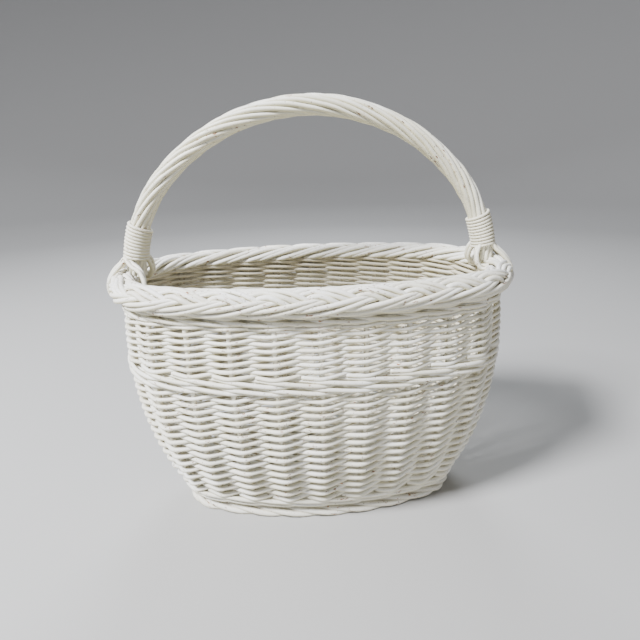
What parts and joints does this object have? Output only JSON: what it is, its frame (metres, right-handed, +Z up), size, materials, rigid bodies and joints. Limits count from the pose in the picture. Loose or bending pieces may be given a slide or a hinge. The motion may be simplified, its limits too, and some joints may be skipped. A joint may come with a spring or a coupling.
{
  "type": "hand basket",
  "caption": "Oval woven willow hand basket with a bellied wall, a plaited border, a foot border and a fixed roped bow handle, all painted white",
  "frame": {"origin": "middle of the oval base, on the surface that the basket stands on", "axes": "+X along the basket towards the right-hand end of the handle, +Y across it towards the back, +Z up"},
  "size_m": [0.4148, 0.2304, 0.4259],
  "materials": {
    "painted_weave": "worn chalky white paint over willow rods",
    "painted_stakes": "worn chalky white paint, yellower in the gaps",
    "painted_border": "satin white paint with small chips",
    "painted_handle": "satin white paint, rubbed on top",
    "painted_cane": "white paint over tightly bound cane",
    "base_willow": "thinly painted willow base"
  },
  "bodies": {
    "root": {"stake_01": "painted_stakes", "stake_02": "painted_stakes", "stake_03": "painted_stakes", "stake_04": "painted_stakes", "stake_05": "painted_stakes", "stake_06": "painted_stakes", "stake_07": "painted_stakes", "stake_08": "painted_stakes", "stake_09": "painted_stakes", "stake_10": "painted_stakes", "stake_11": "painted_stakes", "stake_12": "painted_stakes", "stake_13": "painted_stakes", "stake_14": "painted_stakes", "stake_15": "painted_stakes", "stake_16": "painted_stakes", "stake_17": "painted_stakes", "stake_18": "painted_stakes", "stake_19": "painted_stakes", "stake_20": "painted_stakes", "stake_21": "painted_stakes", "stake_22": "painted_stakes", "stake_23": "painted_stakes", "stake_24": "painted_stakes", "base_long_stick_01": "base_willow", "base_long_stick_02": "base_willow", "base_long_stick_03": "base_willow", "base_cross_stick_01": "base_willow", "base_cross_stick_02": "base_willow", "base_cross_stick_03": "base_willow", "base_cross_stick_04": "base_willow", "base_cross_stick_05": "base_willow", "base_cross_stick_06": "base_willow", "base_weave": "base_willow", "foot_border": "painted_border", "border_core": "painted_border", "border_plait": "painted_border", "border_inner_pairs": "painted_border", "bottom_wale": "painted_weave", "lower_randing": "painted_weave", "middle_wale": "painted_weave", "upper_randing": "painted_weave", "top_wale": "painted_weave", "handle_bow": "painted_handle", "handle_strand_01": "painted_handle", "handle_strand_02": "painted_handle", "handle_strand_03": "painted_handle", "handle_strand_04": "painted_handle", "handle_strand_05": "painted_handle", "handle_strand_06": "painted_handle", "handle_strand_07": "painted_handle", "handle_strand_08": "painted_handle", "handle_strand_09": "painted_handle", "handle_strand_10": "painted_handle", "tail_right_outer": "painted_handle", "tail_right_inner": "painted_handle", "tail_left_outer": "painted_handle", "tail_left_inner": "painted_handle", "collar_right": "painted_cane", "collar_left": "painted_cane"}
  },
  "joints": []
}
